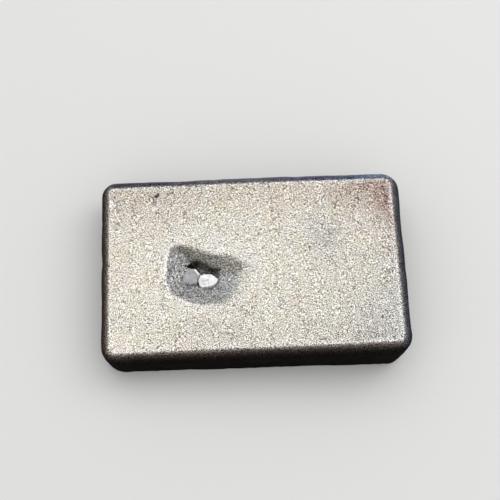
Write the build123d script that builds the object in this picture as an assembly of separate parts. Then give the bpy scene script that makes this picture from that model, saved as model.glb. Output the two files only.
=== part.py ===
"""Small metal ingot, poured in an open mould and left as cast: one solid.

Millimetres, +Z up, origin at the bottom centre of the overall box.  +X runs along the length.
The free face is up.  The mould stood a little out of level, so the free face rises towards +X.
"""
from build123d import *
from math import atan2, degrees, radians, tan
import os

# Body
ingot_length = 50.4
ingot_width = 32.1
left_thickness = 7.4
right_thickness = 10.0
corner_radius = 2.7
wall_draft = 4.5
top_rounding = 1.6
foot_rounding = 0.7

# Shrinkage dish in the free face: a round mouth, cut off on its +Y side by a straight steep wall
dish_x = -7.4
dish_y = -0.1
dish_mouth_radius = 7.3
dish_depth = 2.5
dish_lip_rounding = 0.35
wall_distance = 1.95
wall_turn = -18.5
wall_slope = 62.0

# Crack along the foot of the steep wall, placed from the middle of the dish
crack_x = -1.4
crack_y = 0.35
crack_length = 6.4
crack_width = 0.9
crack_turn = -15.0
crack_below_floor = 1.1

# Six-sided crystals that stand on the floor of the dish, placed from its middle
grey_crystal_x = -3.15
grey_crystal_y = -1.25
grey_crystal_length = 2.9
grey_crystal_breadth = 2.5
grey_crystal_turn = 24.0
grey_crystal_height = 0.75
grey_crystal_lean = 3.0
white_crystal_x = -0.3
white_crystal_y = -2.2
white_crystal_length = 3.4
white_crystal_breadth = 2.2
white_crystal_turn = -4.0
white_crystal_height = 0.9
white_crystal_lean = 2.0
crystal_end_share = 0.27
crystal_root_length = 0.9

# Worked out from the sizes above
middle_thickness = (left_thickness + right_thickness) / 2
pour_tilt = degrees(atan2(right_thickness - left_thickness, ingot_length))
dish_ball_radius = (dish_mouth_radius**2 + dish_depth**2) / (2 * dish_depth)
crack_rise = dish_depth / 2
cutter_size = ingot_length + ingot_width


def wall_inset(thickness):
    """How far the drafted wall leans in from its widest line, under the top rounding, to its foot."""
    return (thickness - top_rounding) * tan(radians(wall_draft))


def free_face_frame():
    """Frame on the free face, with its Z square to that face, so depths are measured from it."""
    return Location((0, 0, middle_thickness), (0, -pour_tilt, 0))


def from_dish(x, y, depth, turn=0.0):
    """Place x and y away from the middle of the dish, sunk by depth under the free face."""
    return free_face_frame() * Location((dish_x + x, dish_y + y, -depth), (0, 0, turn))


def cast_body():
    """Rounded block that widens upwards, cut off by the free face and rounded at both rims."""
    base_length = ingot_length - wall_inset(left_thickness) - wall_inset(right_thickness)
    base_width = ingot_width - 2 * wall_inset(right_thickness)
    base_shift = (wall_inset(left_thickness) - wall_inset(right_thickness)) / 2
    foot_outline = Pos(base_shift, 0) * RectangleRounded(base_length, base_width, corner_radius)
    blank = extrude(foot_outline, amount=left_thickness + right_thickness, taper=-wall_draft)
    above = free_face_frame() * Box(
        cutter_size,
        cutter_size,
        cutter_size,
        align=(Align.CENTER, Align.CENTER, Align.MIN),
    )
    block = blank - above
    block = fillet(block.faces().sort_by(Axis.Z)[-1].edges(), top_rounding)
    return fillet(block.faces().sort_by(Axis.Z)[0].edges(), foot_rounding)


def dish_cutter():
    """Ball whose cap is the dish, less the block behind the steep wall."""
    ball = from_dish(0, 0, dish_depth - dish_ball_radius) * Sphere(dish_ball_radius)
    wall_frame = from_dish(0, 0, 0, wall_turn) * Pos(0, wall_distance) * Rot(wall_slope - 90, 0, 0)
    behind_wall = wall_frame * Box(
        cutter_size,
        cutter_size,
        cutter_size,
        align=(Align.CENTER, Align.MIN, Align.CENTER),
    )
    return ball - behind_wall


def crack_cutter():
    """Narrow slot with round ends, from under the floor of the dish to half way up the wall."""
    slot = SlotOverall(crack_length, crack_width)
    place = from_dish(crack_x, crack_y, dish_depth + crack_below_floor, crack_turn)
    return place * extrude(slot, amount=crack_below_floor + crack_rise)


def crystal(x, y, length, breadth, turn, height, lean):
    """Six-sided column with a flat tip, rooted in the metal under the dish."""
    half_length = length / 2
    half_breadth = breadth / 2
    half_side = half_length - length * crystal_end_share
    outline = Polyline(
        (-half_length, 0),
        (-half_side, half_breadth),
        (half_side, half_breadth),
        (half_length, 0),
        (half_side, -half_breadth),
        (-half_side, -half_breadth),
        close=True,
    )
    column = extrude(make_face(outline), amount=-height - crystal_root_length)
    return from_dish(x, y, dish_depth - height, turn) * Rot(lean, 0, 0) * column


def ingot():
    """The whole casting: body, dish and crack cut away, crystals left standing."""
    casting = cast_body() - dish_cutter()
    free_face = casting.faces().filter_by(GeomType.PLANE).sort_by(Axis.Z)[-1]
    casting = fillet(free_face.inner_wires()[0].edges(), dish_lip_rounding)
    casting -= crack_cutter()
    casting += crystal(
        grey_crystal_x,
        grey_crystal_y,
        grey_crystal_length,
        grey_crystal_breadth,
        grey_crystal_turn,
        grey_crystal_height,
        grey_crystal_lean,
    )
    casting += crystal(
        white_crystal_x,
        white_crystal_y,
        white_crystal_length,
        white_crystal_breadth,
        white_crystal_turn,
        white_crystal_height,
        white_crystal_lean,
    )
    box = casting.bounding_box()
    return Pos(-box.center().X, -box.center().Y, -box.min.Z) * casting


if __name__ == "__main__":
    os.makedirs("parts", exist_ok=True)
    piece = ingot()
    export_step(piece, "parts/ingot.step")
    print("ingot", piece.bounding_box(), "volume", round(piece.volume, 1))
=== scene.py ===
"""Looks of a small metal ingot, poured in an open mould and left as cast.

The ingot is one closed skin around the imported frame: a fine grid over the free face, with the
shrinkage dish, its crack and its crystals, then rows down the walls and a coarser grid underneath.
Shapes are worked out in millimetres and written in metres.
"""

import logging
import math
from dataclasses import dataclass, field
from enum import Enum

import bpy
import numpy as np
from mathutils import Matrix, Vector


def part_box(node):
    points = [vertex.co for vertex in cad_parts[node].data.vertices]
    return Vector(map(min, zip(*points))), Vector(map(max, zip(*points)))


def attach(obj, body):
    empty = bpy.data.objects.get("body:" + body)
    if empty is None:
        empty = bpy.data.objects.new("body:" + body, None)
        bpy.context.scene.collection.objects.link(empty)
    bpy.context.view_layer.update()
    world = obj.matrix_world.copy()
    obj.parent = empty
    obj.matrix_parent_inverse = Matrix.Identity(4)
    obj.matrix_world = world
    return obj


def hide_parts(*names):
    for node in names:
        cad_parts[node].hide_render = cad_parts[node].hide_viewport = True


MILLIMETRE = 0.001
NODE = "ingot"
BODY = "root"
TOUCHING = 1e-6

log = logging.getLogger("ingot")


class Mask(Enum):
    """Point attributes of the skin that the finishes read."""

    # dark mould skin, with painted shade on the roundings and walls as they lean over
    MOULD_AND_SHADE = "mould_skin"
    # painted reflection of blue light along the back rounding
    BACK_REFLECTION = "temper_tint"
    # the dish's frost: a bluish tone, darker than the free face, partly painted shade
    DISH = "dish"
    # the steep wall's tone in the dish: painted shade
    WALL = "dish_wall"
    # painted highlights: the dish's lip and halo, the free face's edge, the crown's line and bright
    # flecks
    PAINTED_HIGHLIGHT = "burnish"
    # painted shade in the crack, the pits, the creases and the nooks by the crystals, and a few dark
    # marks
    SHADE_AND_MARKS = "soot"
    STAIN = "stain"
    # painted shade: the metal darker towards the +X -Y corner and in the wide hollow
    PAINTED_SHADE = "dull"
    GRAIN = "grain"
    # lighter skin near the free face, falling off down the rounding as painted shade, with worn patches
    # on the walls
    CROWN = "crown"


class Surface(Enum):
    """Material slots of the skin, in order."""

    CAST = 0
    # crystal whose face is painted darker than the other's: painted shade
    SHADED_CRYSTAL = 1
    WHITE_CRYSTAL = 2


@dataclass(frozen=True)
class Rise:
    """Smooth rise from 0 at its start to 1 at its end."""

    start: float | np.ndarray
    end: float | np.ndarray

    def at(self, value: np.ndarray) -> np.ndarray:
        """Height of the rise at each number: 3 t squared less 2 t cubed, with t from 0 to 1."""
        t = np.clip((value - self.start) / (self.end - self.start), 0.0, 1.0)
        return t * t * (3.0 - 2.0 * t)


def on_level(flat: np.ndarray, level: float = 0.0) -> np.ndarray:
    """Places on the free face as points in space, all at one level."""
    return np.column_stack([flat, np.full(len(flat), level)])


def soft_clip(value: np.ndarray, bend: float) -> np.ndarray:
    """Clip to 0..1 with rounded corners: half of (v + root(v^2 + bend^2)), taken at both ends.

    Args:
        value: Numbers to clip.
        bend: How far the corners are rounded.

    Returns:
        The clipped numbers.
    """
    lifted = 0.5 * (value + np.sqrt(value * value + bend * bend))
    spare = 1.0 - lifted
    return 1.0 - 0.5 * (spare + np.sqrt(spare * spare + bend * bend))


@dataclass(frozen=True)
class WaveSum:
    """Smooth random relief: a sum of plane waves with random directions, lengths and phases."""

    shortest: float
    longest: float
    height: float
    seed: int
    waves: int = 40

    def at(self, places: np.ndarray) -> np.ndarray:
        """Sum the cosines of (direction . place x 2 pi / wavelength + phase) at each place.

        Args:
            places: Points, one a row, in millimetres.

        Returns:
            The relief at each point; its root mean square is the height.
        """
        draw = np.random.default_rng(self.seed)
        ways = draw.normal(size=(self.waves, 3))
        ways /= np.linalg.norm(ways, axis=1, keepdims=True)
        lengths = np.exp(draw.uniform(math.log(self.shortest), math.log(self.longest), self.waves))
        phases = draw.uniform(0.0, 2.0 * math.pi, self.waves)
        angles = places @ (ways * (2.0 * math.pi / lengths)[:, None]).T + phases
        return self.height * math.sqrt(2.0 / self.waves) * np.cos(angles).sum(axis=1)


def smooth_max(first: np.ndarray, second: np.ndarray, blend: float) -> np.ndarray:
    """Greater of two numbers with a rounded corner: half of (a + b + root((a - b)^2 + e^2) - e).

    Args:
        first: One set of numbers.
        second: The other.
        blend: How far the corner is rounded.

    Returns:
        The rounded maximum; where both are equal it is their value.
    """
    apart = first - second
    return 0.5 * (first + second + np.sqrt(apart * apart + blend * blend) - blend)


def catmull_rom(
    where: np.ndarray, knots: np.ndarray, values: np.ndarray, span: float = 0.0
) -> np.ndarray:
    """Smooth curve through values at rising knots, by the Catmull-Rom cubic between each two.

    Args:
        where: Places at which the curve is read.
        knots: Places of the given values, rising.
        values: The given values.
        span: Length after which a closed curve repeats, or 0 for an open one.

    Returns:
        The curve's value at each place.
    """
    count = len(knots)
    if span:
        where = knots[0] + np.mod(where - knots[0], span)
        knots = np.concatenate([knots, knots[:1] + span])
        around = values[(np.arange(count + 3) - 1) % count]
    else:
        where = np.clip(where, knots[0], knots[-1])
        around = values[np.clip(np.arange(count + 2) - 1, 0, count - 1)]
    step = np.clip(np.searchsorted(knots, where, side="right") - 1, 0, len(knots) - 2)
    t = (where - knots[step]) / (knots[step + 1] - knots[step])
    before, first, second, after = (around[step + shift] for shift in range(4))
    linear = 0.5 * (second - before)
    square = before - 2.5 * first + 2.0 * second - 0.5 * after
    cube = 0.5 * (after - before) + 1.5 * (first - second)
    return first + t * (linear + t * (square + t * cube))


@dataclass(frozen=True)
class Table:
    """Values at a few directions or places, with a smooth curve through them."""

    rows: tuple[tuple[float, float], ...]
    span: float = 0.0

    def at(self, where: np.ndarray) -> np.ndarray:
        """Read the curve at each place."""
        knots, values = np.array(self.rows).T
        return catmull_rom(where, knots, values, self.span)


@dataclass(frozen=True)
class PolarLine:
    """Closed line round a centre, through a few points, as a radius for each direction."""

    centre: tuple[float, float]
    points: tuple[tuple[float, float], ...]

    def radius(self, angles: np.ndarray) -> np.ndarray:
        """Distance from the centre to the line in each direction, given in radians.

        Args:
            angles: Directions in radians, from +X towards +Y.

        Returns:
            The radius in each direction.
        """
        x, y = (np.array(self.points) - np.array(self.centre)).T
        knots = np.arctan2(y, x)
        order = np.argsort(knots)
        return catmull_rom(angles, knots[order], np.hypot(x, y)[order], 2.0 * math.pi)


@dataclass(frozen=True)
class Crystal:
    """Flat-tipped crystal that stands on the dish floor, seen from above as a polygon."""

    surface: Surface
    corners: tuple[tuple[float, float], ...]
    tip_depth: float
    lean_along: float
    lean_across: float
    fold_x: float = 0.0
    fold_drop: float = 0.0

    def distance(self, flat: np.ndarray) -> tuple[np.ndarray, np.ndarray]:
        """Signed distance to the polygon's sides, and the direction in which it grows.

        For a convex outline the signed distance is the greatest of the distances past each side's
        line, and it grows along that side's outward normal.

        Args:
            flat: Places on the free face, one a row.

        Returns:
            The distance, below zero inside, and the outward direction at each place.
        """
        corners = np.array(self.corners)
        sides = np.roll(corners, -1, axis=0) - corners
        outward = np.stack([sides[:, 1], -sides[:, 0]], axis=1)
        outward /= np.linalg.norm(outward, axis=1, keepdims=True)
        past = flat @ outward.T - (corners * outward).sum(axis=1)
        nearest = past.argmax(axis=1)
        return past.max(axis=1), outward[nearest]

    def covers(self, flat: np.ndarray) -> np.ndarray:
        """Whether each place lies on the crystal's tip, its border included."""
        return self.distance(flat)[0] <= TOUCHING

    def tip(self, flat: np.ndarray) -> np.ndarray:
        """Height of the tip: a leaning plane, folded down on the -X side of the fold line.

        Args:
            flat: Places on the free face, one a row.

        Returns:
            The tip's height against the free face at each place.
        """
        middle = np.array(self.corners).mean(axis=0)
        along, across = (flat - middle).T
        fold = np.minimum(flat[:, 0] - self.fold_x, 0.0) * self.fold_drop
        return -self.tip_depth + along * self.lean_along + across * self.lean_across + fold


@dataclass(frozen=True)
class Fleck:
    """Short soft streak of light or dark tone, from one end to the other."""

    start: tuple[float, float]
    end: tuple[float, float]
    half_width: float
    strength: float

    def share(self, flat: np.ndarray) -> np.ndarray:
        """Strength x exp(-(distance to the streak / half width)^2) at each place.

        Args:
            flat: Places on the free face, one a row.

        Returns:
            The streak's strength at each place.
        """
        start, way = np.array(self.start), np.array(self.end) - np.array(self.start)
        along = np.clip((flat - start) @ way / (way @ way), 0.0, 1.0)
        off = flat - start - along[:, None] * way
        return self.strength * np.exp(-(off * off).sum(axis=1) / self.half_width**2)


@dataclass(frozen=True)
class Spot:
    """Soft oval spot of one tone: its middle, its reach along X and Y, and its strength."""

    x: float
    y: float
    reach_x: float
    reach_y: float
    strength: float

    def share(self, places: np.ndarray) -> np.ndarray:
        """Strength x exp(-(dx / reach along X)^2 - (dy / reach along Y)^2) at each place."""
        off_x, off_y = (places[:, 0] - self.x) / self.reach_x, (places[:, 1] - self.y) / self.reach_y
        return self.strength * np.exp(-(off_x**2 + off_y**2))


@dataclass(frozen=True)
class Crack:
    """Torn crack along the foot of the dish's steep wall, between its upper and its lower edge."""

    upper: Table = Table((
        (-12.2, 0.62), (-11.5, 0.9), (-10.7, 1.2), (-10.1, 1.55), (-9.0, 1.5), (-8.4, 1.1),
        (-7.7, 0.85), (-7.3, 0.4), (-6.5, 0.28), (-5.9, 0.0), (-5.3, -0.4), (-4.8, -0.68),
    ))
    lower: Table = Table((
        (-12.2, 0.6), (-11.5, 0.5), (-10.85, 0.42), (-10.1, 0.32), (-9.6, 0.2), (-9.2, -0.3),
        (-8.7, -0.72), (-7.4, -0.9), (-6.5, -0.93), (-5.5, -0.62), (-4.8, -0.7),
    ))
    drop: float = 1.0
    edge: float = 0.34
    least_width: float = 0.1
    tears: WaveSum = WaveSum(0.4, 1.5, 0.06, seed=33)
    lump: WaveSum = WaveSum(0.45, 1.2, 0.22, seed=31)
    lump_height: float = 2.0
    lump_light: float = 0.9
    least_black: float = 0.38
    to_black: Rise = Rise(8.7, 9.6)

    def share(self, flat: np.ndarray) -> np.ndarray:
        """Share of the crack's full depth: a soft step in from the nearer edge, torn by random relief.

        Args:
            flat: Places on the free face, one a row.

        Returns:
            A share from 0, outside, to 1, at the bottom.
        """
        upper, lower = self.upper.at(flat[:, 0]), self.lower.at(flat[:, 0])
        inside = np.minimum(upper - flat[:, 1], flat[:, 1] - lower)
        torn = self.tears.at(on_level(flat)) * (upper - lower > self.least_width)
        return Rise(0.0, self.edge).at(inside + torn)

    def lumps(self, flat: np.ndarray) -> np.ndarray:
        """Lumps on the crack's bottom, zero or above."""
        return np.abs(self.lump.at(on_level(flat, 1.0)))

    def height(self, flat: np.ndarray) -> np.ndarray:
        """Depth of the crack under the dish: its drop less its lumps, times its share."""
        return -self.share(flat) * (self.drop - self.lumps(flat) * self.lump_height)

    def soot(self, flat: np.ndarray) -> np.ndarray:
        """How black the crack is, as painted shade: all black at its -X end, less so at its +X end and
        on its lumps.
        """
        black = self.least_black + (1.0 - self.least_black) * self.to_black.at(-flat[:, 0])
        return self.share(flat) * np.clip(black - self.lump_light * self.lumps(flat), 0.0, 1.0)


@dataclass(frozen=True)
class DishTones:
    """Shares, from 0 to 1 at each place, of what the dish's finishes cover."""

    inside: np.ndarray
    on_wall: np.ndarray
    # painted highlight line outside the mouth
    lip: np.ndarray
    # painted highlight round the mouth
    halo: np.ndarray
    # painted shade in the crack
    soot: np.ndarray
    calm: np.ndarray


@dataclass(frozen=True)
class Dish:
    """Shrinkage dish: a bowl that steepens towards the crystals, and a steep wall behind them."""

    centre: tuple[float, float] = (-8.7, -1.2)
    depth: float = 2.5
    rim_bend: float = 0.1
    mouth: tuple[tuple[float, float], ...] = (
        (-14.2, 1.8), (-14.35, 0.7), (-14.55, -0.4), (-14.65, -1.45), (-14.6, -2.3), (-14.3, -3.2),
        (-13.85, -4.2), (-13.25, -4.9), (-12.25, -5.5), (-11.45, -5.95), (-10.65, -6.4), (-9.35, -6.8),
        (-7.7, -6.95), (-6.2, -7.1), (-4.7, -6.85), (-3.35, -6.2), (-2.05, -5.15), (-1.2, -4.0),
        (-0.65, -2.95), (-0.35, -1.65), (-0.25, -0.35), (-0.6, 1.7), (-3.4, 4.4), (-7.2, 6.0),
        (-11.0, 5.7), (-12.9, 4.2), (-13.8, 3.1),
    )
    foot: tuple[tuple[float, float], ...] = (
        (-11.94, -1.2), (-11.5, 0.7), (-9.8, 1.5), (-7.6, 0.9), (-5.9, 0.0),
        (-5.65, -2.1), (-6.4, -3.5), (-7.9, -3.7), (-9.5, -2.9), (-11.6, -2.4),
    )
    foot_depth: Table = Table(
        ((-180.0, 2.15), (-135.0, 2.1), (-90.0, 1.95), (-50.0, 1.6), (-15.0, 1.2), (10.0, 1.2),
         (50.0, 2.2), (130.0, 2.3)),
        360.0,
    )
    steepening: Table = Table(
        ((-180.0, 0.85), (-135.0, 0.9), (-90.0, 1.0), (-50.0, 1.15), (-15.0, 1.5), (10.0, 1.5),
         (50.0, 1.2), (130.0, 0.9)),
        360.0,
    )
    least_share: float = 1e-6
    to_floor: Rise = Rise(0.0, 0.3)
    wall_line: Table = Table((
        (-15.6, 1.0), (-14.35, 1.9), (-13.75, 2.8), (-13.1, 3.55), (-12.1, 3.85), (-11.3, 3.75),
        (-10.4, 3.3), (-9.5, 3.0), (-9.0, 2.8), (-8.0, 2.5), (-7.2, 2.2), (-6.5, 1.92),
        (-5.4, 1.82), (-4.4, 1.78), (-3.4, 1.62), (-2.6, 1.22), (-1.85, 0.6), (-1.05, -0.08),
        (-0.25, -0.45), (1.6, -1.5),
    ))
    wall_slope: Table = Table((
        (-16.0, 0.85), (-8.0, 0.85), (-6.5, 0.64), (-5.4, 0.44), (-4.4, 0.31), (-3.4, 0.23),
        (-2.0, 0.19), (0.0, 0.16),
    ))
    wall_steepening: float = 0.12
    wall_rounding: float = 0.4
    seam_rounding: float = 0.12
    draw_in: float = 0.06
    draw_reach: float = 1.6
    to_inside: Rise = Rise(0.02, 0.5)
    lip_height: float = 0.035
    lip_reach: float = 0.4
    lip_shift: float = 0.6
    ring_pitch: float = 0.52
    ring_height: float = 0.065
    to_rings: Rise = Rise(0.1, 0.5)
    ring_strength: Table = Table(
        ((-180.0, 0.9), (-140.0, 0.5), (-90.0, 0.25), (-40.0, 0.6), (0.0, 1.0), (60.0, 0.2),
         (140.0, 0.3)),
        360.0,
    )
    ring_wobble: WaveSum = WaveSum(1.0, 3.0, 0.16, seed=34)
    wrinkles: WaveSum = WaveSum(0.45, 1.4, 0.032, seed=32)
    crack: Crack = Crack()
    to_crack: Rise = Rise(0.5, 1.6)
    # the tail past this line takes the wall's painted shade
    tail_line: Table = Table((
        (-7.0, -0.9), (-5.3, -1.15), (-4.0, -1.42), (-3.3, -1.42), (-2.3, -1.02), (-1.0, -0.58),
        (0.0, -0.4),
    ))
    tail_start: float = -6.5
    to_tail: Rise = Rise(-0.2, 0.15)
    to_wall: Rise = Rise(-0.1, 0.04)
    past_wall_line: Rise = Rise(-0.15, 0.45)
    least_sunk: float = 0.01
    frost_start: float = 0.04
    frost_end: float = 0.3
    gentle_lag: float = 0.12
    gentle_way: float = -15.0
    to_gentle: Rise = Rise(0.2, 0.9)
    crisp_way: float = -160.0
    crisp_spread: float = 0.6
    to_crisp: Rise = Rise(0.2, 0.7)
    # painted highlight: a bright line just outside the mouth
    shine_line: float = 0.17
    shine_width: float = 0.2
    shine: tuple[float, float] = (0.12, 0.5)
    shine_depth: float = 0.3
    # painted highlight halo round the mouth
    halo: float = 0.2
    halo_reach: float = 1.2
    halo_depth: float = 0.2
    shade_with_depth: Rise = Rise(0.9, 1.6)
    calm_spot: Spot = Spot(-12.8, 1.3, 1.7, 2.0, 0.4)
    # dark streaks, mostly painted shade in the nooks by the crystals and along the wall's foot; a few
    # dark marks on the crystals
    dark_flecks: tuple[Fleck, ...] = (
        Fleck((-6.2, -3.75), (-4.8, -4.2), 0.17, 0.55),
        Fleck((-5.4, -1.15), (-3.6, -1.4), 0.15, 0.3),
        Fleck((-3.6, -1.4), (-2.0, -0.9), 0.12, 0.22),
        Fleck((-2.0, -0.9), (-0.5, -0.45), 0.09, 0.15),
        Fleck((-6.3, 1.6), (-3.9, 1.4), 0.16, 0.2),
        Fleck((-4.7, -2.7), (-3.75, -3.1), 0.3, 0.28),
        Fleck((-13.9, -0.4), (-10.9, 0.0), 0.12, 0.3),
        Fleck((-11.95, -1.2), (-11.8, -2.5), 0.1, 0.35),
        Fleck((-9.33, -1.7), (-9.1, -3.2), 0.11, 0.75),
        Fleck((-10.3, -2.62), (-9.3, -2.7), 0.11, 0.55),
        Fleck((-8.5, -2.3), (-7.6, -2.05), 0.1, 0.3),
        Fleck((-7.6, -2.05), (-7.5, -2.85), 0.08, 0.35),
        Fleck((-8.7, -2.65), (-8.1, -2.9), 0.09, 0.3),
        Fleck((-8.6, -2.2), (-8.3, -2.9), 0.5, 0.12),
    )
    # painted highlights on bumps, ridges and crystal edges in the dish
    bright_flecks: tuple[Fleck, ...] = (
        Fleck((-4.3, -2.45), (-3.4, -1.8), 0.09, 0.8),
        Fleck((-5.45, -2.77), (-5.4, -2.75), 0.11, 0.7),
        Fleck((-4.95, -2.65), (-4.9, -2.62), 0.1, 0.6),
        Fleck((-8.36, -3.5), (-8.3, -3.48), 0.13, 0.7),
        Fleck((-12.85, -0.65), (-12.55, -2.1), 0.08, 0.16),
        Fleck((-12.4, -0.6), (-12.1, -1.85), 0.07, 0.14),
        Fleck((-9.7, -0.17), (-9.08, -0.92), 0.15, 1.0),
        Fleck((-8.7, -1.4), (-7.6, -1.75), 0.16, 0.6),
    )

    def polar(self, flat: np.ndarray) -> tuple[np.ndarray, np.ndarray, np.ndarray, np.ndarray]:
        """Distance and direction from the centre, and the mouth's and the foot's radius there.

        Args:
            flat: Places on the free face, one a row.

        Returns:
            The distance, the direction in degrees and the two radii at each place.
        """
        x, y = (flat - np.array(self.centre)).T
        angles = np.arctan2(y, x)
        mouth = PolarLine(self.centre, self.mouth).radius(angles)
        foot = PolarLine(self.centre, self.foot).radius(angles)
        return np.hypot(x, y), np.degrees(angles), mouth, foot

    def bowl(self, flat: np.ndarray) -> np.ndarray:
        """Height of the bowl: minus the foot's depth x share^steepening, and deeper inside the foot.

        The share is (mouth - r) / (mouth - foot), rounded at both ends.  Growth rings are low steps
        that run parallel to the foot line.

        Args:
            flat: Places on the free face, one a row.

        Returns:
            The height at each place, zero or below.
        """
        r, degrees, mouth, foot = self.polar(flat)
        share = soft_clip((mouth - r) / (mouth - foot), self.rim_bend)
        foot_depth = self.foot_depth.at(degrees)
        slope = -foot_depth * np.clip(share, self.least_share, 1.0) ** self.steepening.at(degrees)
        floor = -(self.depth - foot_depth) * self.to_floor.at(1.0 - r / foot)
        stair = (r - foot) / self.ring_pitch + self.ring_wobble.at(on_level(flat))
        saw = stair - np.floor(stair) - 0.5
        rings = self.ring_height * self.ring_strength.at(degrees) * saw * self.to_rings.at(share)
        return slope + floor + rings * (r > foot)

    def wall(self, flat: np.ndarray) -> np.ndarray:
        """Height of the steep wall: minus slope x (n + steepening x n^2), n in from its top line.

        Args:
            flat: Places on the free face, one a row.

        Returns:
            The height at each place, zero or below.
        """
        inside = self.wall_line.at(flat[:, 0]) - flat[:, 1]
        inside = 0.5 * (inside + np.sqrt(inside * inside + self.wall_rounding**2))
        slope = self.wall_slope.at(flat[:, 0])
        return -inside * slope * (1.0 + self.wall_steepening * inside)

    def height(self, flat: np.ndarray) -> np.ndarray:
        """Height of the dish against the free face: the upper of bowl and wall, less the crack.

        Outside, the face draws in a little towards the mouth and ends in a low lip.

        Args:
            flat: Places on the free face, one a row.

        Returns:
            The height at each place, mostly below zero.
        """
        sunk = smooth_max(self.bowl(flat), self.wall(flat), self.seam_rounding)
        inside = self.to_inside.at(-sunk)
        r, _, mouth, _ = self.polar(flat)
        outside = np.maximum(r - mouth, 0.0)
        drawn = -self.draw_in * np.exp(-((outside / self.draw_reach) ** 2)) * (1.0 - inside)
        lip = self.lip_height * np.exp(-(((r - mouth) / self.lip_reach - self.lip_shift) ** 2))
        creased = self.wrinkles.at(on_level(flat)) * inside
        return sunk + drawn + lip + creased + self.crack.height(flat) * self.to_crack.at(-sunk)

    def tones(self, flat: np.ndarray) -> DishTones:
        """Where the dish's finishes lie.

        The frost starts at a small depth, a little later on the bowl's gentle side; it is darker than
        the free face, partly painted shade.  The wall's tone, painted shade, lies between its top line
        and the bowl, and along the tail, past the tail line.  The lip's painted highlight lies in a
        narrow line outside the mouth, most where the mouth is crisp.

        Args:
            flat: Places on the free face, one a row.

        Returns:
            The shares at each place.
        """
        r, degrees, mouth, _ = self.polar(flat)
        x, y = flat.T
        bowl, wall = self.bowl(flat), self.wall(flat)
        sunk = -np.maximum(bowl, wall)
        gentle = self.to_gentle.at(np.cos(np.radians(degrees - self.gentle_way))) * (bowl > wall)
        in_bowl = Rise(self.frost_start, self.frost_end + self.gentle_lag * gentle).at(sunk)
        on_tail = self.to_tail.at(y - self.tail_line.at(x)) * (x > self.tail_start)
        on_wall = np.maximum(self.to_wall.at(wall - bowl), on_tail)
        past_line = self.past_wall_line.at(self.wall_line.at(x) - y) * (sunk > self.least_sunk)
        inside = in_bowl + (past_line - in_bowl) * on_wall
        facing = np.cos(np.radians(degrees - self.crisp_way))
        crisp = self.to_crisp.at(facing * self.crisp_spread + 1.0 - self.crisp_spread)
        line = np.exp(-(((r - mouth - self.shine_line) / self.shine_width) ** 2))
        around = np.exp(-((np.clip(r - mouth, 0.0, None) / self.halo_reach) ** 2))
        return DishTones(
            inside=inside,
            on_wall=on_wall * inside,
            lip=line * (self.shine[0] + self.shine[1] * crisp) * (sunk < self.shine_depth),
            halo=self.halo * around * (sunk < self.halo_depth),
            soot=self.crack.soot(flat) * self.shade_with_depth.at(sunk),
            calm=self.calm_spot.share(flat) * inside,
        )


@dataclass(frozen=True)
class Pit:
    """Small round hollow in the free face."""

    x: float
    y: float
    radius: float
    depth: float

    def height(self, flat: np.ndarray) -> np.ndarray:
        """Hollow of -depth x exp(-(r / radius) to the fourth), at each place."""
        r = np.hypot(flat[:, 0] - self.x, flat[:, 1] - self.y) / self.radius
        return -self.depth * np.exp(-(r**4))


@dataclass(frozen=True)
class Crease:
    """Faint bent groove in the free face, from one end to the other."""

    start: tuple[float, float]
    end: tuple[float, float]
    half_width: float
    depth: float
    sag: float = 0.0

    def height(self, flat: np.ndarray) -> np.ndarray:
        """Groove with a bell-shaped section, bent by a parabola and faded at both ends.

        Args:
            flat: Places on the free face, one a row.

        Returns:
            The groove's height at each place, zero or below.
        """
        start, end = np.array(self.start), np.array(self.end)
        length = np.linalg.norm(end - start)
        way = (end - start) / length
        along = (flat - start) @ way / length
        across = (flat - start) @ np.array([-way[1], way[0]])
        bent = across + self.sag * 4.0 * along * (1.0 - along)
        fade = np.clip(4.0 * along * (1.0 - along), 0.0, 1.0)
        return -self.depth * fade * np.exp(-((bent / self.half_width) ** 2))


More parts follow.
